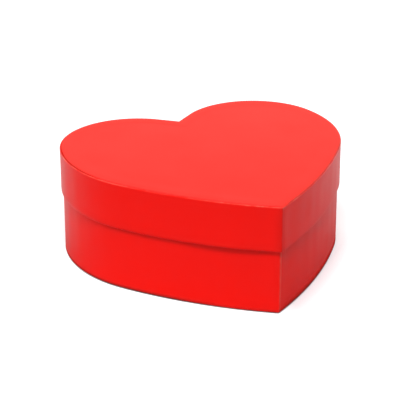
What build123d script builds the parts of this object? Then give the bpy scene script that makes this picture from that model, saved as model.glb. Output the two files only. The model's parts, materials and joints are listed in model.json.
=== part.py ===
from build123d import *

import math
import os

# Heart-shaped gift box: a set-up paperboard tray and a slip lid that telescopes over it.
# Both are made alike: a heart panel, two bent wall strips butted at the point and the cleft,
# tape stays over those butts, a paper wrap turned in at both edges, a panel paper and liners.
# The frame has Z up from the table, the lobes along X and the point towards -Y.

# Closed box, measured over the lid, in millimetres
LID_WIDTH = 210.0
BOX_HEIGHT = 80.4
LID_DEPTH = 33.3

# Half outline of the lid: radii in millimetres, angles in degrees from +X
SIDE_RADIUS = 329.7
SHOULDER_RADIUS = 92.6
POINT_RADIUS = 0.9
SIDE_ANGLE = -36.3
CROWN_ANGLE = 15.1
CLEFT_ANGLE = 129.5
CLEFT_RUN = 13.4

# Board, paper, and the play of panels and lid
WALL_BOARD = 0.8
PANEL_BOARD = 1.2
WRAP_PAPER = 0.15
PANEL_PAPER = 0.15
LINER_PAPER = 0.12
STAY_TAPE = 0.15
PANEL_PLAY = 0.1
SLIP_CLEARANCE = 0.3

# Folds, turned-in edges, notched tabs, lapped seam, stays and margins
FOLD_BEVEL = 0.1
FOLD_SHARE_OF_PAPER = 0.7
TURN_IN = 14.0
LINER_DROP = 5.0
TAB_LENGTH = 10.0
TAB_ROOT = 3.0
TAB_PITCH = 15.0
NOTCH_WIDTH = 2.4
SEAM_LAP = 10.0
STAY_WIDTH = 22.0
STAY_GAP = 0.5
LID_PAPER_MARGIN = 1.0
BASE_PAPER_MARGIN = 2.5

# Length by which a cutting tool runs past the face that it cuts
OVERCUT = 1.0

# Depths of the layers of a wall, counted in from its outside
wall_outside = WRAP_PAPER
wall_inside = wall_outside + WALL_BOARD
liner_outside = wall_inside + max(WRAP_PAPER, STAY_TAPE)
liner_inside = liner_outside + LINER_PAPER

# Heights of the layers of a panel, counted from its outside
wrap_low = PANEL_PAPER
board_low = wrap_low + WRAP_PAPER
board_high = board_low + PANEL_BOARD
floor_high = board_high + LINER_PAPER

# The tray slips inside the lid's liner, and its rim stops on the lid's panel liner
base_start = liner_inside + SLIP_CLEARANCE
base_height = BOX_HEIGHT - floor_high


def polar(centre, radius, angle):
    """Point at a radius and an angle in degrees from a centre."""
    turn = math.radians(angle)
    return centre + Vector(radius * math.cos(turn), radius * math.sin(turn))


# Centres of the arcs of the half outline, each tangent to the next
shoulder_centre = Vector(LID_WIDTH / 2 - SHOULDER_RADIUS, 0)
shoulder_end = polar(shoulder_centre, SHOULDER_RADIUS, CROWN_ANGLE)
crown_span = math.cos(math.radians(CROWN_ANGLE)) - math.cos(math.radians(CLEFT_ANGLE))
crown_radius = (shoulder_end.X - CLEFT_RUN) / crown_span
crown_centre = polar(shoulder_centre, SHOULDER_RADIUS - crown_radius, CROWN_ANGLE)
side_centre = polar(shoulder_centre, SHOULDER_RADIUS - SIDE_RADIUS, SIDE_ANGLE)


def side_meets_middle(radius):
    """Y at which a side arc of some radius crosses the middle line."""
    return side_centre.Y - math.sqrt(radius**2 - side_centre.X**2)


# Half way between the lobes' crowns and the point, which becomes the origin
lid_point_y = side_meets_middle(SIDE_RADIUS - POINT_RADIUS) - POINT_RADIUS
middle_y = (crown_centre.Y + crown_radius + lid_point_y) / 2


def half_outline(start, depth):
    """Right half of a heart, cleft to point, at a depth in a wall that starts inside the lid's outline."""
    inset = start + depth
    run_end = polar(crown_centre, crown_radius - inset, CLEFT_ANGLE)
    cleft = Vector(0, run_end.Y + run_end.X / math.tan(math.radians(CLEFT_ANGLE)))
    point_fold = max(POINT_RADIUS - depth, 0)
    fold_y = side_meets_middle(SIDE_RADIUS - inset - point_fold)
    side_end = math.degrees(math.atan2(fold_y - side_centre.Y, -side_centre.X))
    half = Line(cleft, run_end)
    half += CenterArc(crown_centre, crown_radius - inset, CLEFT_ANGLE, CROWN_ANGLE - CLEFT_ANGLE)
    half += CenterArc(shoulder_centre, SHOULDER_RADIUS - inset, CROWN_ANGLE, SIDE_ANGLE - CROWN_ANGLE)
    half += CenterArc(side_centre, SIDE_RADIUS - inset, SIDE_ANGLE, side_end - SIDE_ANGLE)
    if point_fold > 0:
        half += CenterArc((0, fold_y), point_fold, side_end, -90 - side_end)
    return Pos(0, -middle_y) * half


def prism(start, depth, low, high):
    """Heart-shaped block between two heights."""
    half = half_outline(start, depth)
    face = make_face(half.edges() + mirror(half, about=Plane.YZ).edges())
    return Pos(0, 0, low) * extrude(face, high - low)


def ring(start, outer, inner, low, high):
    """Band between two depths and two heights that follows the heart."""
    return prism(start, outer, low, high) - prism(start, inner, low - OVERCUT, high + OVERCUT)


def column(low, high, *corners):
    """Upright block on a flat outline with straight sides."""
    return Pos(0, 0, low) * extrude(make_face(Polyline(*corners, close=True)), high - low)


def wall_ring(start, height):
    """Both wall strips in one band."""
    return ring(start, wall_outside, wall_inside, board_low, height - WRAP_PAPER)


def tab_notches(start):
    """V notches between the tabs, a mitre at the point and the gap that opens at the cleft."""
    path = Wire(half_outline(start, TAB_ROOT).edges())
    count = max(round(path.length / TAB_PITCH), 1)
    reach = TAB_LENGTH - TAB_ROOT + OVERCUT
    corner_reach = Vector(0, 2 * reach)
    half_mouth = Vector(NOTCH_WIDTH / 2, 0)
    heights = (wrap_low - OVERCUT, board_low + OVERCUT)
    cutters = []
    for number in range(count):
        share = (number + 0.5) / count
        root = path @ share
        along = (path % share) * (NOTCH_WIDTH / 2)
        inward = (path % share).rotate(Axis.Z, -90) * reach
        cutters.append(column(*heights, root, root + inward + along, root + inward - along))
    cutters += [mirror(cutter, about=Plane.YZ) for cutter in cutters]
    point = path @ 1
    point_mouth = point + corner_reach
    cutters.append(column(*heights, point, point_mouth + half_mouth, point_mouth - half_mouth))
    cleft = path @ 0
    square = (path % 0).rotate(Axis.Z, -90) * reach
    other_square = Vector(-square.X, square.Y)
    cutters.append(column(*heights, cleft, cleft + square, cleft - corner_reach, cleft + other_square))
    return cutters


def seam_lap(start, height):
    """Second layer of cover paper on the straight run beside the cleft, where the strip's ends lap."""
    path = Wire(half_outline(start, 0).edges())
    cleft = path @ 0
    lap_end = cleft + (path % 0) * SEAM_LAP
    outward = (path % 0).rotate(Axis.Z, 90) * WRAP_PAPER
    corner = cleft + Vector(0, WRAP_PAPER / (path % 0).X)
    return column(wrap_low, height, cleft, lap_end, lap_end + outward, corner)


def wall_wrap(start, height):
    """Cover paper: outside of the wall, over the rim and down inside, and under the panel as tabs."""
    paper = prism(start, 0, wrap_low, height)
    rim = paper.faces().sort_by(Axis.Z)[-1]
    foot = paper.faces().sort_by(Axis.Z)[0]
    paper = chamfer(rim.edges() + foot.edges(), min(FOLD_BEVEL, FOLD_SHARE_OF_PAPER * WRAP_PAPER))
    paper -= prism(start, liner_outside, board_low, height + OVERCUT)
    paper -= wall_ring(start, height)
    paper -= ring(start, wall_inside, liner_outside, board_low, height - TURN_IN)
    paper -= prism(start, TAB_LENGTH, wrap_low - OVERCUT, board_low + OVERCUT)
    return paper - tab_notches(start) + seam_lap(start, height)


def stays(start, height):
    """Two strips of tape inside the butts of the wall strips: at the point and at the cleft."""
    band = ring(start, wall_inside, wall_inside + STAY_TAPE, board_high, height - TURN_IN - STAY_GAP)
    near_middle = Box(STAY_WIDTH, LID_WIDTH * 2, height * 2)
    return (band & near_middle).solids().sort_by(Axis.Y)


def tray(body, panel, start, height, paper_margin):
    """All pieces of a tray that stands on its panel with its rim up."""
    walls = wall_ring(start, height)
    point_stay, cleft_stay = stays(start, height)
    return {
        f"{body}_{panel}_board": prism(start, wall_inside + PANEL_PLAY, board_low, board_high),
        f"{body}_left_wall": split(walls, bisect_by=Plane.YZ, keep=Keep.BOTTOM),
        f"{body}_right_wall": split(walls, bisect_by=Plane.YZ, keep=Keep.TOP),
        f"{body}_point_stay": point_stay,
        f"{body}_cleft_stay": cleft_stay,
        f"{body}_wall_wrap": wall_wrap(start, height),
        f"{body}_{panel}_paper": prism(start, paper_margin, 0, PANEL_PAPER),
        f"{body}_{panel}_liner": prism(start, liner_outside, board_high, floor_high),
        f"{body}_wall_liner": ring(start, liner_outside, liner_inside, floor_high, height - LINER_DROP),
    }


def main():
    pieces = tray("base", "bottom", base_start, base_height, BASE_PAPER_MARGIN)
    for name, piece in tray("lid", "top", 0, LID_DEPTH, LID_PAPER_MARGIN).items():
        pieces[name] = Pos(0, 0, BOX_HEIGHT) * mirror(piece, about=Plane.XY)
    os.makedirs("parts", exist_ok=True)
    for name, piece in pieces.items():
        export_step(piece, f"parts/{name}.step")
    print("lid length", round(2 * (crown_centre.Y + crown_radius - middle_y), 2))
    print("tray height", round(base_height, 2), "lid step", round(base_start, 2))


main()
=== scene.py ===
# %% [markdown]
# # Dressing a heart-shaped gift box
# The box is a set-up paper box: greyboard inside, red cover paper outside, white paper within.
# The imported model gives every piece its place, in metres, with the table at Z = 0.
# This lesson remakes the papers and bent strips as finer meshes, finishes them, and lights them.

import json
import math

import bmesh
import bpy
import numpy as np
from mathutils import Matrix, Vector

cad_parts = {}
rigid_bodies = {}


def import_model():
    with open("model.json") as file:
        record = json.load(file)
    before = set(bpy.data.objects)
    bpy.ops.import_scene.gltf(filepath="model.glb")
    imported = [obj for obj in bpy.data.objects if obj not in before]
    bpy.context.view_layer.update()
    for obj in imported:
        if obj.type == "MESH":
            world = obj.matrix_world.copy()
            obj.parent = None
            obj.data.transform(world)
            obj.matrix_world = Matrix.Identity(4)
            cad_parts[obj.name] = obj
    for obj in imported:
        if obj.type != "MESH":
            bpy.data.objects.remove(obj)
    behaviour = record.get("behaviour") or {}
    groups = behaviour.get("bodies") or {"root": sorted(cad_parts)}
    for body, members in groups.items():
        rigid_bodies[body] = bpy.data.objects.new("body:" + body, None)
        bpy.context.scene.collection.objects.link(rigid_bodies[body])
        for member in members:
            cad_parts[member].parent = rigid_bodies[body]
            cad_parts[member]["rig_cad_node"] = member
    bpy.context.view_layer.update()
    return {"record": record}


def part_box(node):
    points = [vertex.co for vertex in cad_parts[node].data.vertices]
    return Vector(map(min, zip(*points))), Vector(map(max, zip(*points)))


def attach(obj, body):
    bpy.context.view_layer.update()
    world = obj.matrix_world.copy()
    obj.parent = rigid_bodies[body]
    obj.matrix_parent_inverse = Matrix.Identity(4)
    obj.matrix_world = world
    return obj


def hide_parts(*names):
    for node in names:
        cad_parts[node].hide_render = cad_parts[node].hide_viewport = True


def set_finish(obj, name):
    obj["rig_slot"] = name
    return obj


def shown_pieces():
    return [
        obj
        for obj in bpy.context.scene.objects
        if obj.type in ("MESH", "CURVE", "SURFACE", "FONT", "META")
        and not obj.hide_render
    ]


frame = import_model()
MM = 0.001

# %% [markdown]
# ## The heart's outline
# Half a heart is a straight run out of the cleft, three tangent arcs and a small fold at the point.
# It could be traced with a Bezier curve, but arcs keep their exact distance when the line is moved in,
# and every layer of board or paper in a wall is such a moved line.

# %% Sizes of the outline
SHOULDER_RADIUS = 92.6 * MM
SIDE_RADIUS = 329.7 * MM
POINT_RADIUS = 0.9 * MM
SIDE_ANGLE = math.radians(-36.3)
CROWN_ANGLE = math.radians(15.1)
CLEFT_ANGLE = math.radians(129.5)
CLEFT_RUN = 13.4 * MM

lid_low, lid_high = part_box("lid_wall_wrap")
base_low, base_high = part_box("base_wall_wrap")
BOX_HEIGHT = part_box("lid_top_paper")[1].z
lid_width = lid_high.x - lid_low.x
base_width = base_high.x - base_low.x


def polar(centre, radius, angle):
    """Points at a radius and one or more angles from a centre."""
    return centre + radius * np.stack([np.cos(angle), np.sin(angle)], -1)


shoulder_centre = np.array([lid_width / 2 - SHOULDER_RADIUS, 0])
shoulder_end = polar(shoulder_centre, SHOULDER_RADIUS, CROWN_ANGLE)
crown_radius = (shoulder_end[0] - CLEFT_RUN) / (math.cos(CROWN_ANGLE) - math.cos(CLEFT_ANGLE))
crown_centre = polar(shoulder_centre, SHOULDER_RADIUS - crown_radius, CROWN_ANGLE)
side_centre = polar(shoulder_centre, SHOULDER_RADIUS - SIDE_RADIUS, SIDE_ANGLE)


def side_meets_middle(radius):
    """Y at which a side arc of some radius crosses the middle line."""
    return side_centre[1] - math.sqrt(radius**2 - side_centre[0] ** 2)


lid_point_y = side_meets_middle(SIDE_RADIUS - POINT_RADIUS) - POINT_RADIUS
middle_y = (crown_centre[1] + crown_radius + lid_point_y) / 2
lid_length = 2 * (crown_centre[1] + crown_radius - middle_y)
print("lid", round(lid_width / MM, 2), "by", round(lid_length / MM, 2), "mm")

# %% [markdown]
# ## Stations
# Every row of points round the heart has the same stations, so rows at any depth can be stitched together.
# They lie about a millimetre apart, which is finer than the eye needs on a flat side,
# and closer together beside the point, where the paper buckles at its fold.
# The cover paper's ends lap on the run beside the cleft,
# so two stations stand close together there and make a crisp paper edge.

# %% Shares of each stretch
STATION = 1.2 * MM
FINE_STATION = 0.5 * MM
FINE_REACH = 18 * MM
FOLD_STATIONS = 9
SEAM_LAP = 10 * MM
LAP_EDGE = 0.05 * MM


def shares(length):
    """Even shares of a stretch of the outline, without its last station."""
    return np.linspace(0, 1, round(length / STATION), endpoint=False)


def side_end_angle(inset, fold):
    """Angle at which the side arc hands over to the fold at the point."""
    fold_y = side_meets_middle(SIDE_RADIUS - inset - fold)
    return math.atan2(fold_y - side_centre[1], -side_centre[0])


run_length = CLEFT_RUN / math.sin(CLEFT_ANGLE)
lap_share = SEAM_LAP / run_length
lap_stations = round(SEAM_LAP / STATION)
lapped = np.linspace(0, lap_share, lap_stations)
unlapped = np.linspace(lap_share + LAP_EDGE / run_length, 1, lap_stations, endpoint=False)

side_length = SIDE_RADIUS * (SIDE_ANGLE - side_end_angle(0, POINT_RADIUS))
fine_share = 1 - FINE_REACH / side_length
fine_count = round(FINE_REACH / FINE_STATION)
coarse = shares(side_length - FINE_REACH) * fine_share
fine = np.linspace(fine_share, 1, fine_count, endpoint=False)

run_shares = np.concatenate([lapped, unlapped])
crown_shares = shares(crown_radius * (CLEFT_ANGLE - CROWN_ANGLE))
shoulder_shares = shares(SHOULDER_RADIUS * (CROWN_ANGLE - SIDE_ANGLE))
side_shares = np.concatenate([coarse, fine])
fold_shares = np.linspace(0, 1, FOLD_STATIONS)
print("stations:", len(crown_shares), "on a crown,", len(side_shares), "on a side")


# %% Rows of the heart
def station_angles(inset, fold):
    """The way that the wall faces at each station of the right half, cleft to point."""
    side_end = side_end_angle(inset, fold)
    return (
        CLEFT_ANGLE + 0 * run_shares,
        CLEFT_ANGLE + (CROWN_ANGLE - CLEFT_ANGLE) * crown_shares,
        CROWN_ANGLE + (SIDE_ANGLE - CROWN_ANGLE) * shoulder_shares,
        SIDE_ANGLE + (side_end - SIDE_ANGLE) * side_shares,
        side_end + (-math.pi / 2 - side_end) * fold_shares,
    )


def both_halves(right):
    """The whole closed loop from its right half."""
    return np.concatenate([right, right[-2:0:-1] * (-1, 1)])


def heart(start, depth):
    """Closed row of points at a depth in a wall whose outside lies a start inside the lid's outline."""
    inset = start + depth
    fold = max(POINT_RADIUS - depth, 0)
    crown, shoulder, side, point = station_angles(inset, fold)[1:]
    run_end = polar(crown_centre, crown_radius - inset, CLEFT_ANGLE)
    cleft = np.array([0, run_end[1] + run_end[0] / math.tan(CLEFT_ANGLE)])
    fold_centre = np.array([0, side_meets_middle(SIDE_RADIUS - inset - fold)])
    right = np.concatenate(
        [
            cleft + (run_end - cleft) * run_shares[:, None],
            polar(crown_centre, crown_radius - inset, crown),
            polar(shoulder_centre, SHOULDER_RADIUS - inset, shoulder),
            polar(side_centre, SIDE_RADIUS - inset, side),
            polar(fold_centre, fold, point),
        ]
    )
    right[[0, -1], 0] = 0
    return both_halves(right) - (0, middle_y)


outline = heart(0, 0)
STATIONS = len(outline)
print(STATIONS, "stations round the heart")

# %% [markdown]
# ## Places round the wall
# The rows start at the cleft, run down the right half to the point and go back up the left half.
# A place on the wall is its distance from the point along the lid's outline,
# which is negative on the right half and positive on the left.

# %% Places and outward ways
facing = np.concatenate(station_angles(0, POINT_RADIUS))
POINT_STATION = len(facing) - 1
outward = polar(np.zeros(2), 1, facing)
# At the cleft both runs move out together, along their mitre
outward[0] = (0, 1 / math.sin(CLEFT_ANGLE))
outward[-1] = (0, -1)
outward = both_halves(outward)

step_lengths = np.linalg.norm(np.roll(outline, -1, 0) - outline, axis=1)
travelled = np.concatenate([[0], np.cumsum(step_lengths)[:-1]])
from_point = travelled - travelled[POINT_STATION]
is_lapped = np.zeros(STATIONS, bool)
is_lapped[:lap_stations] = True
print("outline", round(step_lengths.sum() / MM), "mm long")

# %% [markdown]
# ## How the walls stand
# A bent board strip is never quite true. On this box the lid's skirt bows out a little on the left,
# between the point and the shoulder, and that widens the shadow under its rim.
# The rim curls in on that side, where the paper is pulled over the board,
# and the walls swell beside the point. A slow ripple round the walls only goes inwards.
# Sculpting could give such faults, but smooth formulas let wrap, strips, stays and lining follow
# the same numbers, so no layer shows through another.

# %% Sizes of both trays
FOOT_FOLD = 0.6 * MM
TOP_FOLD = 0.5 * MM

trays = {
    "base": {"start": (lid_width - base_width) / 2, "height": base_high.z, "fold": FOOT_FOLD},
    "lid": {"start": 0.0, "height": BOX_HEIGHT - lid_low.z, "fold": TOP_FOLD},
}
for body, tray in trays.items():
    print(body, round(tray["height"] / MM, 2), "mm high")


# %% Bow, curl, swell and ripple
def bell(distance, reach, power=2):
    """1 at a distance of 0, falling smoothly to 0 past a reach. A power of 4 gives a flat top."""
    return np.exp(-((distance / reach) ** power))


def rising(distance, reach):
    """0 up to a distance of 0, and from there an even rise to 1 at a reach."""
    return np.clip(distance / reach, 0, 1)


SKIRT_BOW = 0.8 * MM
BOW_PLACE = 36 * MM
BOW_REACH = 25 * MM
BOW_HOLD = 7 * MM
BOW_RISE = 1.4
RIM_CURL = 0.22 * MM
CURL_REACH = 2.8 * MM
CURL_FADE = (12 * MM, 40 * MM)
SWELL = 0.5 * MM
SWELL_TURN = 20 * MM
SWELL_FADE = 8 * MM
BUCKLE = 0.02 * MM
BUCKLE_TURN = 2.9 * MM
RIPPLE = 0.11 * MM
RIPPLE_TURNS = (16, 29, 41)

round_share = travelled / step_lengths.sum() * 2 * math.pi
ripple = sum(np.sin(turns * round_share + turns) for turns in RIPPLE_TURNS) / len(RIPPLE_TURNS)
held_by_fold = 1 - bell(from_point, BOW_HOLD)
skirt_bow = held_by_fold * bell(from_point - BOW_PLACE, BOW_REACH)
from_cleft = step_lengths.sum() / 2 - np.abs(from_point)
rim_curl = RIM_CURL * rising(from_point, CURL_FADE[0]) * rising(from_cleft, CURL_FADE[1])
near_point = np.exp(-np.abs(from_point) / SWELL_FADE)
swell = SWELL * near_point * np.sin(2 * math.pi * np.abs(from_point) / SWELL_TURN)
swell += BUCKLE * near_point * np.sin(2 * math.pi * np.abs(from_point) / BUCKLE_TURN)
print("walls swell by", round(swell.max() / MM, 2), "mm at most beside the point")

# %% How far a wall stands out
PANEL_HOLD = {"base": 35 * MM, "lid": 6 * MM}
RIM_HOLD = 25 * MM


def stands_out(body, height):
    """How far a wall stands out at each station, at a height over the face of its panel."""
    rim = trays[body]["height"]
    share = rising(height, rim)
    curl = rim_curl * (1 - rising(rim - height, CURL_REACH)) ** 2
    held = rising(height, PANEL_HOLD[body])
    if body == "base":
        held *= rising(rim - height, RIM_HOLD)
    bow = SKIRT_BOW * skirt_bow * share**BOW_RISE if body == "lid" else 0
    return bow - curl + swell * held + RIPPLE * (ripple - 1) * math.sin(math.pi * share)


lid_rim_out = stands_out("lid", trays["lid"]["height"])
print("lid's rim stands out by", round(lid_rim_out.max() / MM, 2), "mm at most")

# %% [markdown]
# ## From rows to a mesh
# A row is a closed loop of points at one depth and height. Stitching neighbouring rows with quads
# makes a band, and stitching the last row to the first closes it into a solid ring.
# Where a fold is sharp its stations fall together, so doubles are merged afterwards.
# The lid is modelled like the tray, standing on its panel, and then turned over.
# Along the left lobe the lid's wall was set a hair low, so its edge dips there beside the top sheet.

# %% Rows and quads
EDGE_DIP = 0.2 * MM
DIP_PLACE = 174 * MM
DIP_REACH = 40 * MM
DIP_DEPTH = 3 * MM
DIP_HEIGHT = 4 * MM

lobe_dip = bell(from_point - DIP_PLACE, DIP_REACH, power=4)


def row(body, depth, height):
    """Closed row of points in a wall, at a depth from its outside and a height over its panel's face."""
    flat = heart(trays[body]["start"], depth) + outward * stands_out(body, height)[:, None]
    levels = np.full(STATIONS, height)
    if body == "lid":
        levels += EDGE_DIP * lobe_dip * (1 - rising(depth, DIP_DEPTH)) * (1 - rising(height, DIP_HEIGHT))
    return np.column_stack([flat, levels])


def stitched(rows, closed_round=True, closed_across=False):
    """Quads between neighbouring rows of equal length."""
    across = len(rows) if closed_across else len(rows) - 1
    length = len(rows[0])
    along = length if closed_round else length - 1
    first, second = np.meshgrid(np.arange(across), np.arange(along), indexing="ij")
    after, beside = (first + 1) % len(rows), (second + 1) % length
    corners = ((first, second), (first, beside), (after, beside), (after, second))
    quads = [line * length + place for line, place in corners]
    return np.stack(quads, -1).reshape(-1, 4).tolist()


print("lid's edge dips by", round(EDGE_DIP * lobe_dip.max() / MM, 2), "mm on the left lobe")

# %% Finished pieces
MERGE = 0.0005 * MM
SHARP = math.radians(38)


def make_piece(name, body, node, slot, points, faces, weights=None):
    """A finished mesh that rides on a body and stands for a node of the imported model."""
    points = np.array(points, float)
    if body == "lid":
        points[:, 2] = BOX_HEIGHT - points[:, 2]
    mesh = bpy.data.meshes.new(name)
    mesh.from_pydata(points.tolist(), [], faces)
    for label, values in (weights or {}).items():
        layer = mesh.attributes.new(label, "FLOAT", "POINT")
        layer.data.foreach_set("value", np.array(values, np.float32))
    work = bmesh.new()
    work.from_mesh(mesh)
    bmesh.ops.remove_doubles(work, verts=work.verts, dist=MERGE)
    bmesh.ops.recalc_face_normals(work, faces=work.faces)
    work.to_mesh(mesh)
    work.free()
    mesh.shade_smooth()
    mesh.set_sharp_from_angle(angle=SHARP)
    piece = bpy.data.objects.new(name, mesh)
    bpy.context.scene.collection.objects.link(piece)
    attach(piece, body)
    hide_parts(node)
    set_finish(piece, slot)
    print(name, len(mesh.polygons), "faces")


print("points closer than", MERGE / MM, "mm are merged")

# %% [markdown]
# ## Cover paper round the walls
# The wrap is one long strip of red paper. It goes up the outside, over the rim and down inside,
# and at the foot it folds under the panel as tabs with V notches between them.
# Solidify could give a sheet its thickness, but tight folds and notches need exact edges,
# so both skins of the paper are drawn here as sections and joined at their edges.

# %% Sections of the wrap
WRAP_PAPER = 0.15 * MM
PANEL_PAPER = 0.15 * MM
WALL_BOARD = 0.8 * MM
RIM_FOLD = 0.4 * MM
TURN_IN = 14 * MM
TAB_ROOT = 3 * MM
WALL_ROW = 2.6 * MM
FOOT_LEVELS = (1.3 * MM, 2.0 * MM, 3.0 * MM)
FOLD_ROWS = 6

wrap_low = PANEL_PAPER
wall_inside = WRAP_PAPER + WALL_BOARD
wall_thick = wall_inside + WRAP_PAPER


def fold_rows(depth, height, radius, start, stop):
    """Section of a fold: an arc about a depth and a height, with angles in degrees."""
    angles = np.radians(np.linspace(start, stop, FOLD_ROWS))
    return [(depth + radius * math.cos(a), height + radius * math.sin(a)) for a in angles]


def wrap_section(body, skin):
    """Depths and heights of one skin of the paper, from a tab's root to the turned-in edge."""
    height, fold = trays[body]["height"], trays[body]["fold"]
    foot = fold_rows(fold, wrap_low + fold, fold - skin, -90, -180)
    rows_up = np.linspace(FOOT_LEVELS[-1], height - RIM_FOLD, round(height / WALL_ROW))[1:-1]
    wall = [(skin, level) for level in (*FOOT_LEVELS, *rows_up)]
    outer = fold_rows(RIM_FOLD, height - RIM_FOLD, RIM_FOLD - skin, 180, 90)
    inner = fold_rows(wall_thick - RIM_FOLD, height - RIM_FOLD, RIM_FOLD - skin, 90, 0)
    levels_down = np.linspace(height - RIM_FOLD, height - TURN_IN, FOLD_ROWS)[1:]
    inside = [(wall_thick - skin, level) for level in levels_down]
    return [(TAB_ROOT, wrap_low + skin)] + foot + wall + outer + inner + inside


print("rows in a skin:", {body: len(wrap_section(body, 0)) for body in trays})

# %% Notches and the tabs' free edges
TAB_LENGTH = 10 * MM
TAB_PITCH = 15 * MM
NOTCH_WIDTH = 2.4 * MM


def notch_stations():
    """Stations at the roots of the notches, the point and the cleft among them."""
    half = travelled[POINT_STATION]
    count = round(half / TAB_PITCH)
    places = [(number + 0.5) / count * half for number in range(count)]
    right = [int(np.abs(travelled[: POINT_STATION + 1] - place).argmin()) for place in places]
    left = [STATIONS - station for station in reversed(right)]
    return [0] + right + [POINT_STATION] + left + [STATIONS]


def tab_tips(body, first, last):
    """Points along the free edge of the tab between two notches."""
    stations = np.arange(first, last + 1) % STATIONS
    tips = heart(trays[body]["start"], TAB_LENGTH)[stations]
    roots = heart(trays[body]["start"], TAB_ROOT)[stations]
    run_count = len(run_shares)
    on_run = (stations < run_count) | (stations > STATIONS - run_count)
    side = 1 if first < POINT_STATION else -1
    square = polar(np.zeros(2), TAB_ROOT - TAB_LENGTH, CLEFT_ANGLE) * (side, 1)
    tips[on_run] = roots[on_run] + square
    shift = NOTCH_WIDTH / 2 * np.linspace(1, -1, len(stations))
    shift[stations == 0] = 0
    way = np.gradient(tips, axis=0)
    length = np.linalg.norm(way, axis=1)
    # At the point the fold's stations fall together and have no way, so they go with the next one that has
    has_way = length > 0
    moved = tips[has_way] + way[has_way] * (shift[has_way] / length[has_way])[:, None]
    return moved[np.maximum(np.cumsum(has_way) - 1, 0)]


notches = notch_stations()
print("notches round a panel:", len(notches) - 1)


# %% Notched tabs
def add_tabs(body, points, faces, outer_root, inner_root):
    """Adds the tabs to a wrap's points and faces. The roots are the first numbers of its two root rows."""
    for first, last in zip(notches, notches[1:]):
        tips = tab_tips(body, first, last)
        count = len(tips)
        outer_tip = len(points)
        inner_tip = outer_tip + count
        points.extend((x, y, wrap_low) for x, y in tips)
        points.extend((x, y, wrap_low + WRAP_PAPER) for x, y in tips)
        for step in range(count - 1):
            here, there = (first + step) % STATIONS, (first + step + 1) % STATIONS
            outer, inner = outer_tip + step, inner_tip + step
            faces.append([outer_root + here, outer_root + there, outer + 1, outer])
            faces.append([inner_root + there, inner_root + here, inner, inner + 1])
            faces.append([outer, outer + 1, inner + 1, inner])
        for step in (0, count - 1):
            here = (first + step) % STATIONS
            faces.append([outer_root + here, outer_tip + step, inner_tip + step, inner_root + here])


print("a tab lies", round((TAB_LENGTH - TAB_ROOT) / MM, 2), "mm past the roots of its notches")

# %% [markdown]
# ## Small faults of the wrap
# The paper's ends lap beside the cleft, so the outer skin steps out there by one thickness.
# Turned in round the lobes the paper gathers in small pleats. The rim isn't quite level either:
# it waves a little all round, and the lid's rim sags on the left front.
# A displace modifier could move the points, but each fault here is one number for every station.

# %% Lap, pleats and uneven rim
PLEAT = 0.05 * MM
PLEAT_PITCH = 3.2 * MM
PLEAT_BEAT = 0.37
LOBE_PLACE = 215 * MM
LOBE_REACH = 80 * MM
INSIDE_SLACK = 0.1 * MM
RIM_RIPPLE = 0.09 * MM
RIM_SAG = 0.6 * MM
SAG_PLACE = 108 * MM
SAG_REACH = 55 * MM

lap_step = outward * (is_lapped * WRAP_PAPER)[:, None]
pleat_turns = travelled / PLEAT_PITCH
pleats = np.sin(pleat_turns * 2 * math.pi) * np.sin(pleat_turns * PLEAT_BEAT)
lies_on_lobe = np.abs(np.abs(from_point) - LOBE_PLACE) < LOBE_REACH
rim_level = {"base": RIM_RIPPLE * (ripple - 1), "lid": RIM_RIPPLE * ripple}
rim_level["lid"] += RIM_SAG * bell(from_point - SAG_PLACE, SAG_REACH, power=4)


def wrap_row(body, depth, height, skin):
    """A row of the wrap, with the lapped ends outside, small pleats inside and an uneven rim."""
    points = row(body, depth, height)
    rim = trays[body]["height"]
    if skin == 0 and depth < WRAP_PAPER:
        points[:, :2] += lap_step
    if depth > wall_inside - INSIDE_SLACK and height > rim - TURN_IN:
        points[:, :2] += outward * (PLEAT * pleats * lies_on_lobe)[:, None]
    points[:, 2] += rim_level[body] * (1 - rising(rim - height, TURN_IN))
    return points


print("lid's rim sags by", round(rim_level["lid"].max() / MM, 2), "mm at most")

# %% [markdown]
# ## Where the paper is worn, and where highlight and shade are painted
# Three weights on the meshes mark the paper. The first is rubbed, pale paper mixed with painted highlight:
# on the lid's top fold, at some places more than at others; on the tray's fold at the point it is painted
# highlight.
# The second is painted shade: along the tray's foot and a little way up its right side, beside the lid's
# point, and in the gap beside the top sheet on the left lobe.
# The third is a thin line of painted shade on the lid's right edge.
# They could be painted by hand, but formulas keep them on the folds when a size changes.

# %% Weights for wear and painted highlight
WEAR_AND_HIGHLIGHT_ALL_ROUND = 0.15
# The place on the left lobe paints the fold's highlight; the other places are rubbed paper with some painted
# highlight.
WEAR_AND_HIGHLIGHT_PLACES = (
    (24 * MM, 26 * MM, 1.0),
    (-19 * MM, 6 * MM, 1.0),
    (-93 * MM, 14 * MM, 1.2),
    (176 * MM, 48 * MM, 1.4),
)
WEAR_AND_HIGHLIGHT_WIDTH = 0.6 * MM
WEAR_AND_HIGHLIGHT_DROP = (0.5 * MM, 0.0)
# The pale line on the tray's fold at the point is a painted highlight.
PAINTED_HIGHLIGHT_POINT = 0.5
PAINTED_HIGHLIGHT_SHIFT = -0.8 * MM


def by_side(right, left):
    """A value at every station: one for the right half and one for the left half."""
    return np.where(from_point < 0, right, left)


wear_and_highlight_drop = by_side(*WEAR_AND_HIGHLIGHT_DROP)
wear_and_highlight_share = WEAR_AND_HIGHLIGHT_ALL_ROUND + sum(
    amount * bell(from_point - place, reach) for place, reach, amount in WEAR_AND_HIGHLIGHT_PLACES
)


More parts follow.
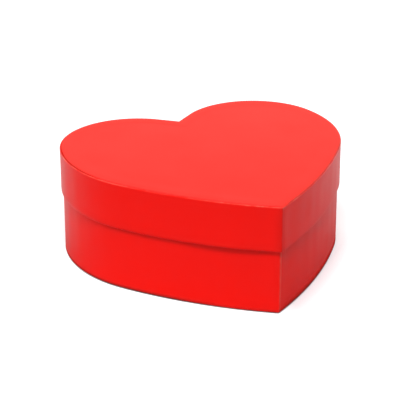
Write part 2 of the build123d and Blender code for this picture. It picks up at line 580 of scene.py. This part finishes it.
def wear_and_highlight_of(body, depth, height):
    """Share of wear and painted highlight at each point of a row: the lid's top fold, and the tray's fold at
    the point.
    """
    if body == "base":
        return PAINTED_HIGHLIGHT_POINT * bell(from_point - PAINTED_HIGHLIGHT_SHIFT, POINT_RADIUS) * (depth < POINT_RADIUS)
    at_fold = bell(height - wrap_low - wear_and_highlight_drop, WEAR_AND_HIGHLIGHT_WIDTH) * (depth < TOP_FOLD)
    return np.clip(at_fold * wear_and_highlight_share, 0, 1)


print("rubbed places on the lid's top fold:", len(WEAR_AND_HIGHLIGHT_PLACES))

# %% Weights for painted shade
# Painted shade: darker along the tray's foot, further up on its right side, in the gap beside the top sheet
# and beside the lid's point.
PAINTED_FOOT_SHADE = ((-20 * MM, 0.95), (0.0, 0.5), (35 * MM, 0.35), (80 * MM, 0.95))
FOOT_SHADE_WIDTH = (2.5 * MM, 1.8 * MM)
PAINTED_SIDE_SHADE = (0.14, 0.0)
SIDE_FADE = 14 * MM
PAINTED_GAP_SHADE = 0.55
PAINTED_POINT_SHADE = 0.12
POINT_SHADE_REACH = 4 * MM
# Painted shade along the lid's right edge, on the fold and on the top sheet's border.
PAINTED_EDGE_SHADE_PLACES = ((-170 * MM, 0.0), (-120 * MM, 0.5), (-12 * MM, 0.5), (-2 * MM, 0.0))
FOLD_SHADE_WIDTH = 0.4 * MM


def between_places(places):
    """A value at every station, drawn straight between the values at some places."""
    return np.interp(from_point, *zip(*places))


painted_foot_shade = between_places(PAINTED_FOOT_SHADE)
foot_shade_width = by_side(*FOOT_SHADE_WIDTH)
painted_side_shade = by_side(*PAINTED_SIDE_SHADE)
painted_edge_shade_along = between_places(PAINTED_EDGE_SHADE_PLACES)


def painted_shade_of(body, depth, height):
    """Share of painted shade at each point of a row."""
    if body == "base":
        at_foot = bell(height - wrap_low, foot_shade_width)
        return painted_foot_shade * at_foot + painted_side_shade * math.exp((wrap_low - height) / SIDE_FADE)
    in_gap = lobe_dip * (height < wrap_low + TOP_FOLD / 2) * (depth > TOP_FOLD / 2)
    at_point = bell(from_point, POINT_SHADE_REACH) * (height > TOP_FOLD)
    return PAINTED_GAP_SHADE * in_gap + PAINTED_POINT_SHADE * at_point


def painted_edge_shade_of(body, height):
    """Share of painted edge shade at each point of a row: on the upper part of the lid's top fold."""
    return painted_edge_shade_along * (body == "lid") * (1 - rising(height - wrap_low, FOLD_SHADE_WIDTH))


print("dust on the foot:", round(painted_foot_shade.min(), 2), "to", round(painted_foot_shade.max(), 2))


# %% Make both wraps
def make_wrap(body):
    """The red paper strip round a tray's wall."""
    outside = [(depth, level, 0) for depth, level in wrap_section(body, 0)]
    inside = [(depth, level, WRAP_PAPER) for depth, level in wrap_section(body, WRAP_PAPER)[::-1]]
    section = outside + inside
    rows = [wrap_row(body, *spot) for spot in section]
    points = np.concatenate(rows).tolist()
    faces = stitched(rows)
    add_tabs(body, points, faces, 0, (len(rows) - 1) * STATIONS)
    clean_tabs = [np.zeros(len(points) - len(rows) * STATIONS)]
    weights = {
        "wear_and_highlight": [wear_and_highlight_of(body, depth, level) * (skin == 0) for depth, level, skin in section],
        "painted_shade": [painted_shade_of(body, depth, level) for depth, level, _ in section],
        "painted_edge_shade": [painted_edge_shade_of(body, level) for _, level, _ in section],
    }
    weights = {label: np.concatenate(values + clean_tabs) for label, values in weights.items()}
    make_piece(body + "_wrap", body, body + "_wall_wrap", "red_paper", points, faces, weights)


for body in trays:
    make_wrap(body)

# %% [markdown]
# ## Wall strips, stays and lining bands
# Under the wrap each wall is two strips of greyboard that butt at the point and at the cleft.
# Paper tapes, the stays, hold both butts inside. A white paper band covers the stays
# and the turned-in edge of the wrap, and stops short of the rim.
# A curve with a bevel profile could sweep them, but the stations are there already:
# strips and stays are stretches of a band with end faces, and a lining goes all the way round.

# %% Bands and their stretches
STAY_TAPE = 0.15 * MM
LINER_PAPER = 0.12 * MM
PANEL_BOARD = 1.2 * MM
SECTION_ROWS = 14

board_high = wrap_low + WRAP_PAPER + PANEL_BOARD
floor_high = board_high + LINER_PAPER
liner_outside = wall_inside + max(WRAP_PAPER, STAY_TAPE)
liner_inside = liner_outside + LINER_PAPER


def band_section(outer, inner, low, high):
    """Depths and heights up one face of a band and down the other."""
    levels = np.linspace(low, high, SECTION_ROWS)
    return [(outer, level) for level in levels] + [(inner, level) for level in levels[::-1]]


def make_stretch(name, body, node, slot, rows, stations):
    """A band's stretch over some stations, with a face at each end."""
    part = [points[stations] for points in rows]
    count = len(stations)
    faces = stitched(part, closed_round=False, closed_across=True)
    faces.append([number * count for number in range(len(part))])
    faces.append([number * count + count - 1 for number in reversed(range(len(part)))])
    make_piece(name, body, node, slot, np.concatenate(part), faces)


print("lining inside a wall:", round(liner_inside / MM, 2), "mm from its outside")

# %% Strips and stays
STAY_WIDTH = 22 * MM
STAY_GAP = 0.5 * MM


def make_strips(body):
    """The two greyboard strips of a wall, with the outer corner of the foot pressed round."""
    rim = trays[body]["height"] - WRAP_PAPER
    fold = trays[body]["fold"]
    arc = fold_rows(fold, wrap_low + fold, fold - WRAP_PAPER, -90, -180)
    corner = [(depth, level) for depth, level in arc if depth < wall_inside]
    inner_foot = (wall_inside, corner[0][1])
    section = corner + band_section(WRAP_PAPER, wall_inside, wrap_low + 2 * fold, rim) + [inner_foot]
    rows = [row(body, depth, level) for depth, level in section]
    right = np.arange(POINT_STATION + 1)
    left = np.append(np.arange(POINT_STATION, STATIONS), 0)
    for side, stations in (("right", right), ("left", left)):
        make_stretch(f"{body}_{side}_strip", body, f"{body}_{side}_wall", "greyboard", rows, stations)


def make_stays(body):
    """The two paper tapes inside the butts of a wall, at the point and at the cleft."""
    top = trays[body]["height"] - TURN_IN - STAY_GAP
    section = band_section(wall_inside, wall_inside + STAY_TAPE, board_high, top)
    rows = [row(body, depth, level) for depth, level in section]
    is_near = np.abs(heart(trays[body]["start"], wall_inside)[:, 0]) < STAY_WIDTH / 2
    for place, middle in (("point", POINT_STATION), ("cleft", 0)):
        around = (middle + np.arange(-STATIONS // 4, STATIONS // 4)) % STATIONS
        stations = around[is_near[around]]
        make_stretch(f"{body}_{place}_tape", body, f"{body}_{place}_stay", "stay_tape", rows, stations)


print("strips butt at stations 0 and", POINT_STATION, "under stays", round(STAY_WIDTH / MM), "mm wide")

# %% Lining bands, and all of them made
LINER_DROP = 5 * MM
LINER_UNEVEN = 0.15 * MM


def make_lining_band(body):
    """White paper inside the wall, with a hand-cut upper edge."""
    top = trays[body]["height"] - LINER_DROP
    section = band_section(liner_outside, liner_inside, floor_high, top)
    rows = [row(body, depth, level) for depth, level in section]
    for points in rows:
        points[:, 2] += LINER_UNEVEN * ripple * (points[:, 2] - floor_high) / (top - floor_high)
    faces = stitched(rows, closed_across=True)
    node = body + "_wall_liner"
    make_piece(body + "_lining_band", body, node, "liner_paper", np.concatenate(rows), faces)


for body in trays:
    make_strips(body)
    make_stays(body)
    make_lining_band(body)

# %% [markdown]
# ## Heart-shaped sheets
# A red heart covers the tabs outside and a white heart covers the board inside.
# A flat n-gon would do for the outline, but real paper sinks where the tabs end under it
# and dips over the seam between panel and wall. So the sheet is a set of rings,
# close together at the edge and wide apart in the middle, each a smaller heart.

# %% Rings of a sheet
EDGE_RINGS = 12
EDGE_BAND = 5 * MM
MIDDLE_RINGS = 26
HEART_MIDDLE = np.array([0, 8 * MM])


def sheet_rings(start, margin):
    """Closed rings from a sheet's edge to near its middle, and each ring's distance from the edge."""
    insets = EDGE_BAND * np.linspace(0, 1, EDGE_RINGS) ** 2
    rings = [heart(start, margin + inset) for inset in insets]
    inner = rings[-1]
    scales = np.linspace(1, 0, MIDDLE_RINGS + 2)[1:-1]
    rings += [HEART_MIDDLE + (inner - HEART_MIDDLE) * scale for scale in scales]
    reach = np.linalg.norm(inner - HEART_MIDDLE, axis=1)
    distances = [np.full(STATIONS, inset) for inset in insets]
    distances += [EDGE_BAND + reach * (1 - scale) for scale in scales]
    return rings, distances


def sheet(rings, faces_out, faces_in):
    """Points and faces of a thin closed sheet, from its rings and the heights of its two faces."""
    outer = [np.column_stack([ring, height]) for ring, height in zip(rings, faces_out)]
    inner = [np.column_stack([ring, height]) for ring, height in zip(rings, faces_in)]
    rows = outer[::-1] + inner
    faces = stitched(rows)
    last = (len(rows) - 1) * STATIONS
    points = np.concatenate(rows).tolist()
    for first, height in ((0, faces_out[-1].mean()), (last, faces_in[-1].mean())):
        points.append((*HEART_MIDDLE, height))
        middle = len(points) - 1
        faces += [[middle, first + here, first + (here + 1) % STATIONS] for here in range(STATIONS)]
    return points, faces


print("rings in a sheet:", EDGE_RINGS + MIDDLE_RINGS)

# %% Red sheets
LID_PAPER_MARGIN = 1.0 * MM
BASE_PAPER_MARGIN = 2.5 * MM
TAB_SINK = 0.1 * MM
SINK_SLOPE = 1.0 * MM
SEAM_DIP = 0.05 * MM
SEAM_WIDTH = 0.5 * MM
SHEET_EDGE = 0.1 * MM
SHEET_SHIFT = np.array([0.4, -0.1]) * MM
BORDER_SHADE_WIDTH = 0.6 * MM


def sheet_weights(distances):
    """Painted shade under the edge of the lid's top sheet and along its right border, with its middles last.
    """
    clean = [np.zeros(STATIONS) for _ in distances]
    middles = [np.zeros(2)]
    # Painted shade under the sheet's edge on the left lobe, and along its right border.
    under_edge = [PAINTED_GAP_SHADE * lobe_dip * (far < SHEET_EDGE) for far in distances]
    border = [painted_edge_shade_along * bell(far, BORDER_SHADE_WIDTH) for far in distances]
    return {
        "painted_shade": np.concatenate(clean + under_edge + middles),
        "painted_edge_shade": np.concatenate(border[::-1] + clean + middles),
    }


def make_panel_sheet(body, panel, margin):
    """The red heart outside a panel. On the lid it lies a little to one side."""
    rings, distances = sheet_rings(trays[body]["start"], margin)
    seam = wall_inside + 2 * WRAP_PAPER
    under = [TAB_SINK / (1 + np.exp((TAB_LENGTH - margin - far) / SINK_SLOPE)) for far in distances]
    out = [sink + SEAM_DIP * bell(far + margin - seam, SEAM_WIDTH) for sink, far in zip(under, distances)]
    inner = [sink + PANEL_PAPER for sink in under]
    points, faces = sheet(rings, out, inner)
    points = np.array(points)
    weights = None
    if body == "lid":
        points[:, :2] += SHEET_SHIFT
        weights = sheet_weights(distances)
    node = f"{body}_{panel}_paper"
    make_piece(f"{body}_{panel}_sheet", body, node, "red_paper", points, faces, weights)


make_panel_sheet("lid", "top", LID_PAPER_MARGIN)
make_panel_sheet("base", "bottom", BASE_PAPER_MARGIN)


# %% White sheets
def make_lining_sheet(body, panel):
    """The white heart inside a panel."""
    rings, _ = sheet_rings(trays[body]["start"], liner_outside)
    out = [np.full(STATIONS, board_high) for _ in rings]
    inner = [np.full(STATIONS, floor_high) for _ in rings]
    points, faces = sheet(rings, out, inner)
    node = f"{body}_{panel}_liner"
    make_piece(f"{body}_lining_sheet", body, node, "liner_paper", points, faces)


make_lining_sheet("lid", "top")
make_lining_sheet("base", "bottom")


# %% [markdown]
# ## Node helpers
# The finishes are node trees, which could be wired by hand in the shader editor.
# A few small helpers keep them readable here: they make a node and fill its inputs with numbers or links,
# make a group with named sockets, and start a material.

# %% Helpers for nodes
def add_node(tree, kind, inputs=None, **settings):
    """A shader node with its inputs set to numbers or linked to other nodes' outputs."""
    made = tree.nodes.new("ShaderNode" + kind)
    for name, value in settings.items():
        setattr(made, name, value)
    for name, value in (inputs or {}).items():
        if isinstance(value, bpy.types.NodeSocket):
            tree.links.new(value, made.inputs[name])
        else:
            made.inputs[name].default_value = value
    return made


def worked_out(tree, operation, first, second, **settings):
    """Result of an operation on two values."""
    return add_node(tree, "Math", {0: first, 1: second}, operation=operation, **settings).outputs[0]


def ranged(tree, value, given=(0.0, 1.0), to=(0.0, 1.0), **settings):
    """A value moved from the range that is given to another one, and kept in it."""
    inputs = {"Value": value, "From Min": given[0], "From Max": given[1], "To Min": to[0], "To Max": to[1]}
    return add_node(tree, "MapRange", inputs, **settings).outputs["Result"]


def mix_colours(tree, share, first, second):
    """Colour between two colours, by a share."""
    made = add_node(tree, "Mix", data_type="RGBA")
    tree.links.new(share, made.inputs["Factor"])
    for label, value in (("A", first), ("B", second)):
        socket = next(s for s in made.inputs if s.name == label and s.type == "RGBA")
        if isinstance(value, bpy.types.NodeSocket):
            tree.links.new(value, socket)
        else:
            socket.default_value = value
    return next(s for s in made.outputs if s.type == "RGBA")


print("node helpers:", add_node.__name__, worked_out.__name__, ranged.__name__, mix_colours.__name__)


# %% Helpers for groups and materials
def new_group(name, inputs, outputs):
    """An empty shader group with float inputs, each with its usual value, and float outputs."""
    tree = bpy.data.node_groups.new(name, "ShaderNodeTree")
    for label, usual in inputs.items():
        socket = tree.interface.new_socket(label, in_out="INPUT", socket_type="NodeSocketFloat")
        socket.default_value = usual
    for label in outputs:
        tree.interface.new_socket(label, in_out="OUTPUT", socket_type="NodeSocketFloat")
    return tree, tree.nodes.new("NodeGroupInput"), tree.nodes.new("NodeGroupOutput")


def place_group(tree, group, inputs):
    """A group placed in a material with its own values."""
    return add_node(tree, "Group", inputs, node_tree=group)


def new_material(name):
    """A new material, its tree and its Principled BSDF."""
    material = bpy.data.materials.new(name)
    material.use_nodes = True
    tree = material.node_tree
    return material, tree, tree.nodes["Principled BSDF"]


def add_bump(tree, shader, height, distance, strength):
    """Small relief from a height, in metres."""
    bump = add_node(tree, "Bump", {"Height": height, "Distance": distance, "Strength": strength})
    tree.links.new(bump.outputs["Normal"], shader.inputs["Normal"])


print("material helpers:", new_group.__name__, place_group.__name__, new_material.__name__, add_bump.__name__)

# %% [markdown]
# ## Paper and board share a grain
# All four materials are made of pulp, so they share one group: a fine felt of fibres,
# a slow cloud where the sheet is thicker or the ink is denser, flecks, and a height for the bump.
# A scanned texture could show it, but noise in object space needs no UV map and rides along with the lid.

# %% Fibre group
FLECK_EDGE = (0.05, 0.16)
CLOUD_RELIEF = 0.5


def make_fibre_group():
    """Fibre, cloud, flecks and height of a sheet of pulp."""
    tree, given, result = new_group(
        "pulp_grain",
        {"Fibre Scale": 1500.0, "Cloud Scale": 30.0, "Fleck Scale": 300.0},
        ["Fibre", "Cloud", "Fleck", "Height"],
    )
    place = add_node(tree, "TexCoord").outputs["Object"]
    felt = {"Vector": place, "Scale": given.outputs["Fibre Scale"], "Detail": 3.0, "Distortion": 0.8}
    fibre = add_node(tree, "TexNoise", felt).outputs["Fac"]
    slow = {"Vector": place, "Scale": given.outputs["Cloud Scale"], "Detail": 2.0}
    cloud = add_node(tree, "TexNoise", slow).outputs["Fac"]
    cells = {"Vector": place, "Scale": given.outputs["Fleck Scale"], "Randomness": 1.0}
    spot = add_node(tree, "TexVoronoi", cells).outputs["Distance"]
    fleck = ranged(tree, spot, FLECK_EDGE, (1.0, 0.0), interpolation_type="SMOOTHSTEP")
    height = worked_out(tree, "ADD", fibre, worked_out(tree, "MULTIPLY", cloud, CLOUD_RELIEF))
    for label, value in (("Fibre", fibre), ("Cloud", cloud), ("Fleck", fleck), ("Height", height)):
        tree.links.new(value, result.inputs[label])
    return tree


pulp_grain = make_fibre_group()
print("group", pulp_grain.name, "of", len(pulp_grain.nodes), "nodes")

# %% [markdown]
# ## Rubbed folds and painted highlights
# Coated paper goes pale where a fold is rubbed, in broken streaks and not as an even line,
# and the same pale colour also paints the highlight along some folds.
# A painted mask could show the streaks, but the meshes already carry a weight for wear and painted highlight,
# so this group only breaks it up with noise.

# %% Group for wear and painted highlight
STREAK_EDGE = (0.3, 0.62)


def make_wear_and_highlight_group():
    """Mask of rubbed paper and painted highlight along folds."""
    tree, given, result = new_group("wear_and_highlight_folds", {"Amount": 0.5, "Streak Scale": 160.0}, ["Wear"])
    place = add_node(tree, "TexCoord").outputs["Object"]
    weight = add_node(tree, "Attribute", attribute_name="wear_and_highlight").outputs["Fac"]
    rough = {"Vector": place, "Scale": given.outputs["Streak Scale"], "Detail": 4.0, "Roughness": 0.6}
    streak = add_node(tree, "TexNoise", rough).outputs["Fac"]
    broken = ranged(tree, streak, STREAK_EDGE, interpolation_type="SMOOTHSTEP")
    streaked_weight = worked_out(tree, "MULTIPLY", weight, broken)
    scaled = worked_out(tree, "MULTIPLY", streaked_weight, given.outputs["Amount"], use_clamp=True)
    tree.links.new(scaled, result.inputs["Wear"])
    return tree


wear_and_highlight_folds = make_wear_and_highlight_group()
print("group", wear_and_highlight_folds.name, "of", len(wear_and_highlight_folds.nodes), "nodes")

# %% [markdown]
# ## Red cover paper
# Satin coated paper: a strong red under a thin clear coating that reflects little head-on
# and much more at a glancing angle, which is why the top and the far edges look paler than the front.
# A clear coat layer could do it, but a low specular level gives the same rise with less shine.
# Ink density wanders slightly. Folds are paler where the paper is rubbed and where a highlight is painted.
# Painted shade darkens the ink along the lid's right edge, and in the creases painted shade darkens it
# and takes its shine away.

# %% Red paper
RED_INK = (0.86, 0.003, 0.0005, 1)
DEEP_RED = (0.74, 0.002, 0.0004, 1)
# Pale red for rubbed paper and for painted highlights on the folds; dark red for painted shade.
WEAR_AND_HIGHLIGHT_RED = (0.93, 0.16, 0.12, 1)
PAINTED_SHADE_RED = (0.22, 0.016, 0.011, 1)
RED_SHINE = 0.125
INK_CLOUD = (0.35, 0.75)
INK_DENSITY = (0.0, 0.1)
SATIN_CLOUD = (0.3, 0.7)
SATIN = (0.28, 0.32)
PAINTED_SHADE_RANGE = (0.1, 0.45)
PAINTED_SHADE_DULLS = (0.0, 0.6)
RED_RELIEF = 0.02 * MM
RED_BUMP = 0.35


def make_red_paper():
    """Coated red cover paper."""
    material, tree, shader = new_material("red_cover_paper")
    grain = place_group(tree, pulp_grain, {"Fibre Scale": 1300.0, "Cloud Scale": 26.0, "Fleck Scale": 260.0})
    wear_and_highlight = place_group(tree, wear_and_highlight_folds, {"Amount": 0.8, "Streak Scale": 60.0})
    painted_edge_shade = add_node(tree, "Attribute", attribute_name="painted_edge_shade").outputs["Fac"]
    painted_shade = add_node(tree, "Attribute", attribute_name="painted_shade").outputs["Fac"]
    density = ranged(tree, grain.outputs["Cloud"], INK_CLOUD, INK_DENSITY)
    colour = mix_colours(tree, density, RED_INK, DEEP_RED)
    # Folds go pale where the paper is rubbed and where a highlight is painted.
    colour = mix_colours(tree, wear_and_highlight.outputs["Wear"], colour, WEAR_AND_HIGHLIGHT_RED)
    # Painted shade darkens the lid's right edge and the creases.
    colour = mix_colours(tree, painted_edge_shade, colour, PAINTED_SHADE_RED)
    colour = mix_colours(tree, painted_shade, colour, PAINTED_SHADE_RED)
    tree.links.new(colour, shader.inputs["Base Color"])
    satin = ranged(tree, grain.outputs["Cloud"], SATIN_CLOUD, SATIN)
    # Where shade is painted the paper is also made rougher.
    dull = ranged(tree, painted_shade, PAINTED_SHADE_RANGE, PAINTED_SHADE_DULLS)
    tree.links.new(worked_out(tree, "ADD", dull, satin), shader.inputs["Roughness"])
    shader.inputs["Specular IOR Level"].default_value = RED_SHINE
    add_bump(tree, shader, grain.outputs["Height"], RED_RELIEF, RED_BUMP)
    return material


red_paper = make_red_paper()
print("material", red_paper.name)

# %% [markdown]
# ## White lining, greyboard and paper tape
# The lining is uncoated, so it is matt and slightly warm. Greyboard is pressed waste paper with flecks.
# The stays over the butts are brown kraft tape. Each could have its own tree,
# but all three are the same pulp, so one function takes the grain with their own scales and tones.

# %% Pulp materials
TONE_FIBRE = (0.3, 0.7)
TONE_CLOUD = (0.4, 0.8)
CLOUD_SHARE = (0.0, 0.5)
PULP_ROUGH = (0.78, 0.95)
PULP_SHINE = 0.25
PULP_BUMP = 0.6


def make_pulp_material(name, light, dark, fleck, scales, relief):
    """Uncoated paper or board: two tones of pulp and a tone of flecks."""
    material, tree, shader = new_material(name)
    grain = place_group(tree, pulp_grain, scales)
    colour = mix_colours(tree, ranged(tree, grain.outputs["Fibre"], TONE_FIBRE), light, dark)
    cloud = ranged(tree, grain.outputs["Cloud"], TONE_CLOUD, CLOUD_SHARE)
    colour = mix_colours(tree, cloud, colour, dark)
    colour = mix_colours(tree, grain.outputs["Fleck"], colour, fleck)
    tree.links.new(colour, shader.inputs["Base Color"])
    tree.links.new(ranged(tree, grain.outputs["Fibre"], to=PULP_ROUGH), shader.inputs["Roughness"])
    shader.inputs["Specular IOR Level"].default_value = PULP_SHINE
    add_bump(tree, shader, grain.outputs["Height"], relief, PULP_BUMP)
    return material


print("pulp is", PULP_ROUGH[0], "to", PULP_ROUGH[1], "rough")

# %% Lining, board and tape
white_lining = make_pulp_material(
    "white_lining_paper",
    light=(0.86, 0.84, 0.80, 1),
    dark=(0.80, 0.78, 0.73, 1),
    fleck=(0.74, 0.71, 0.66, 1),
    scales={"Fibre Scale": 900.0, "Cloud Scale": 40.0, "Fleck Scale": 90.0},
    relief=0.03 * MM,
)
greyboard = make_pulp_material(
    "pressed_greyboard",
    light=(0.36, 0.34, 0.31, 1),
    dark=(0.27, 0.25, 0.23, 1),
    fleck=(0.14, 0.13, 0.13, 1),
    scales={"Fibre Scale": 700.0, "Cloud Scale": 60.0, "Fleck Scale": 220.0},
    relief=0.06 * MM,
)
kraft_tape = make_pulp_material(
    "kraft_tape",
    light=(0.50, 0.34, 0.20, 1),
    dark=(0.40, 0.26, 0.15, 1),
    fleck=(0.28, 0.17, 0.10, 1),
    scales={"Fibre Scale": 800.0, "Cloud Scale": 80.0, "Fleck Scale": 240.0},
    relief=0.04 * MM,
)
print("materials", white_lining.name, greyboard.name, kraft_tape.name)

# %% Finish every piece
materials = {
    "red_paper": red_paper,
    "liner_paper": white_lining,
    "greyboard": greyboard,
    "stay_tape": kraft_tape,
}
# The two flat boards come from the model as they are, and take the slot of their node
slot_of_node = {part["node"]: part["material_slot"] for part in frame["record"]["subparts"]}
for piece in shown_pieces():
    slot = piece.get("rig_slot") or slot_of_node[piece["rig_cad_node"]]
    piece.data.materials.clear()
    piece.data.materials.append(materials[slot])

# %% [markdown]
# ## Floor
# A white floor runs to the edge of sight. To the camera it is partly lit from itself, more so far away,
# so it stays white, keeps a faint pink shade at the right front and goes dark just where the box stands.
# Other rays meet plain paint: a white sheet round the box, which throws light back on the walls,
# and a greyer floor beyond it. In reflections the paint is dark near the box, where its shade would lie.
# A shadow catcher would need compositing, and this needs none.

# %% Floor as the camera sees it
SEEN_PAINT = (0.35, 0.35, 0.35, 1)
SEEN_REACH = (0.15, 0.45)
FLOOR_GLOW = (0.7, 1.0)
CONTACT_REACH = 10 * MM
CONTACT_OPEN = (0.1, 0.48)
SHADY_WAY = (0.68, -0.73, 0.0)
SHADY_PLACE = (62 * MM, 76 * MM)
SHADY_SIDE = (2 * MM, 16 * MM)
SHADY_REACH = 29 * MM
SHADY_OPEN = (0.55, 0.8)
SHADY_PINK = (0.69, 0.57, 0.6, 1)
ROOM_WHITE = (1.0, 1.0, 1.0, 1)


def openness(tree, reach, given):
    """How open the floor is to the sky within a reach: 1 in the open, and 0 close beside the box."""
    return ranged(tree, add_node(tree, "AmbientOcclusion", {"Distance": reach}).outputs["AO"], given)


def seen_floor(tree, place, distance):
    """Shader of the floor for the camera."""
    contact = openness(tree, CONTACT_REACH, CONTACT_OPEN)
    strength = worked_out(tree, "MULTIPLY", contact, ranged(tree, distance, SEEN_REACH, FLOOR_GLOW))
    ahead = add_node(tree, "VectorMath", {0: place, 1: SHADY_WAY}, operation="DOT_PRODUCT")
    in_front = ranged(tree, ahead.outputs["Value"], SHADY_PLACE)
    on_right = ranged(tree, add_node(tree, "SeparateXYZ", {0: place}).outputs["X"], SHADY_SIDE)
    shady = worked_out(tree, "MULTIPLY", in_front, on_right)
    dimmed = mix_colours(tree, openness(tree, SHADY_REACH, SHADY_OPEN), SHADY_PINK, ROOM_WHITE)
    tint = mix_colours(tree, shady, ROOM_WHITE, dimmed)
    glow = add_node(tree, "Emission", {"Color": tint, "Strength": strength})
    paint = add_node(tree, "BsdfDiffuse", {"Color": SEEN_PAINT})
    return add_node(tree, "AddShader", {0: paint.outputs[0], 1: glow.outputs[0]}).outputs[0]


print("floor glows by", FLOOR_GLOW[0], "near the box and", FLOOR_GLOW[1], "far away")

# %% Floor as other rays meet it
SHEET_PAINT = (0.68, 0.68, 0.68, 1)
FAR_PAINT = (0.3, 0.3, 0.3, 1)
SHEET_REACH = (0.1, 0.5)
MIRRORED_PAINT = (0.68, 0.68, 0.68, 1)
MIRRORED_SHADE = (0.14, 0.14, 0.14, 1)
SHADE_REACH = 110 * MM
SHADE_OPEN = (0.5, 1.0)


def sees_mirrored(tree, path):
    """1 for rays of reflections or through clear things, and 0 for the rest."""
    return worked_out(tree, "MAXIMUM", path.outputs["Is Glossy Ray"], path.outputs["Is Transmission Ray"])


def lighting_floor(tree, distance, path):
    """Shader of the floor for all rays that aren't the camera's."""
    paint = mix_colours(tree, ranged(tree, distance, SHEET_REACH), SHEET_PAINT, FAR_PAINT)
    mirrored = mix_colours(tree, openness(tree, SHADE_REACH, SHADE_OPEN), MIRRORED_SHADE, MIRRORED_PAINT)
    met = mix_colours(tree, sees_mirrored(tree, path), paint, mirrored)
    return add_node(tree, "BsdfDiffuse", {"Color": met}).outputs[0]


print("white sheet ends between", SHEET_REACH[0], "and", SHEET_REACH[1], "m from the middle")

# %% Make the floor
FLOOR_SIZE = 12.0
FLOOR_DROP = 0.55 * MM


def make_floor():
    """A large white floor, just under the box."""
    bpy.ops.mesh.primitive_plane_add(size=FLOOR_SIZE, location=(0, 0, -FLOOR_DROP))
    floor = bpy.context.object
    floor.name = "floor"
    material = bpy.data.materials.new("white_floor")
    material.use_nodes = True
    tree = material.node_tree
    tree.nodes.clear()
    path = add_node(tree, "LightPath")
    place = add_node(tree, "TexCoord").outputs["Object"]
    distance = add_node(tree, "VectorMath", {0: place}, operation="LENGTH").outputs["Value"]
    lighting = lighting_floor(tree, distance, path)
    seen = seen_floor(tree, place, distance)
    mixed = add_node(tree, "MixShader", {0: path.outputs["Is Camera Ray"], 1: lighting, 2: seen})
    add_node(tree, "OutputMaterial", {"Surface": mixed.outputs[0]})
    floor.data.materials.append(material)
    print("floor", FLOOR_SIZE, "m wide")


make_floor()

# %% [markdown]
# ## Room
# The world is white to the eye, a little warm in reflections, and nearly dark for the rest,
# because the lamps and the floor do the lighting. A picture of a room could light the box too,
# but it would bring its own colours and windows into the satin paper.

# %% World
ROOM_WARM = (1.0, 0.99, 0.85, 1)
AMBIENT = 0.06


def make_world():
    """White to the eye, a little warm to reflections, and a faint glow for the rest."""
    world = bpy.data.worlds.new("white_room")
    bpy.context.scene.world = world
    world.use_nodes = True
    tree = world.node_tree
    path = add_node(tree, "LightPath")
    mirrored = sees_mirrored(tree, path)
    seen = worked_out(tree, "MAXIMUM", path.outputs["Is Camera Ray"], mirrored)
    background = tree.nodes["Background"]
    tree.links.new(mix_colours(tree, mirrored, ROOM_WHITE, ROOM_WARM), background.inputs["Color"])
    tree.links.new(ranged(tree, seen, to=(AMBIENT, 1.0)), background.inputs["Strength"])
    print("world", world.name, "glows by", AMBIENT)


make_world()

# %% [markdown]
# ## Light
# A key light stands high in front, a little to the left. It throws the shadow under the lid's rim,
# and its size gives that shadow a soft lower edge. A broad light on the left fills the lobe
# and shades the floor on the right. A low one from the right and behind lifts the far end of the
# right face. It is kept out of reflections, where it would draw a bright line along the right edge.
# A sun lamp could be the key, but its light wouldn't fade softly under the rim.

# %% Lamps
AIM = Vector((0, 0, 40 * MM))
LAMP_DISTANCE = 1.8


def add_softbox(name, azimuth, elevation, size, power, mirrored=True):
    """Square area lamp aimed at the box, placed by angles in degrees. Azimuth 0 is in front."""
    turn, rise = math.radians(azimuth), math.radians(elevation)
    way = Vector((math.sin(turn) * math.cos(rise), -math.cos(turn) * math.cos(rise), math.sin(rise)))
    lamp = bpy.data.lights.new(name, "AREA")
    lamp.size = size
    lamp.energy = power
    holder = bpy.data.objects.new(name, lamp)
    holder.visible_glossy = mirrored
    holder.location = AIM + way * LAMP_DISTANCE
    holder.rotation_euler = (-way).to_track_quat("-Z", "Y").to_euler()
    bpy.context.scene.collection.objects.link(holder)
    print("lamp", name, power, "W")


add_softbox("key", azimuth=-25, elevation=64, size=0.38, power=34.5)
add_softbox("left", azimuth=-100, elevation=36, size=1.0, power=14.3)
add_softbox("right", azimuth=116, elevation=12, size=1.0, power=20, mirrored=False)

# %% [markdown]
# ## Camera
# A long lens stands over a metre away, to the left of the point, and looks down on the lid.
# A short lens from nearby would show the box too, but it would make the far lobe look smaller.

# %% Camera
CAMERA_TARGET = Vector((-8.61, 17.7, 40.0)) * MM
CAMERA_DISTANCE = 1177.7 * MM
CAMERA_AZIMUTH = math.radians(-23.463)
CAMERA_ELEVATION = math.radians(23.66)
CAMERA_ROLL = math.radians(-0.177)
CAMERA_LENS = 143.4


def make_camera():
    """Camera on a ring round the target."""
    level = math.cos(CAMERA_ELEVATION)
    aside, ahead = math.sin(CAMERA_AZIMUTH) * level, math.cos(CAMERA_AZIMUTH) * level
    back = Vector((aside, -ahead, math.sin(CAMERA_ELEVATION)))
    lens = bpy.data.cameras.new("camera")
    lens.lens = CAMERA_LENS
    camera = bpy.data.objects.new("camera", lens)
    turn = (-back).to_track_quat("-Z", "Y").to_matrix() @ Matrix.Rotation(CAMERA_ROLL, 3, "Z")
    camera.matrix_world = Matrix.Translation(CAMERA_TARGET + back * CAMERA_DISTANCE) @ turn.to_4x4()
    bpy.context.scene.collection.objects.link(camera)
    bpy.context.scene.camera = camera
    print("camera", round(CAMERA_DISTANCE, 2), "m away with a lens of", CAMERA_LENS, "mm")


make_camera()
bpy.context.scene.view_settings.view_transform = "Standard"
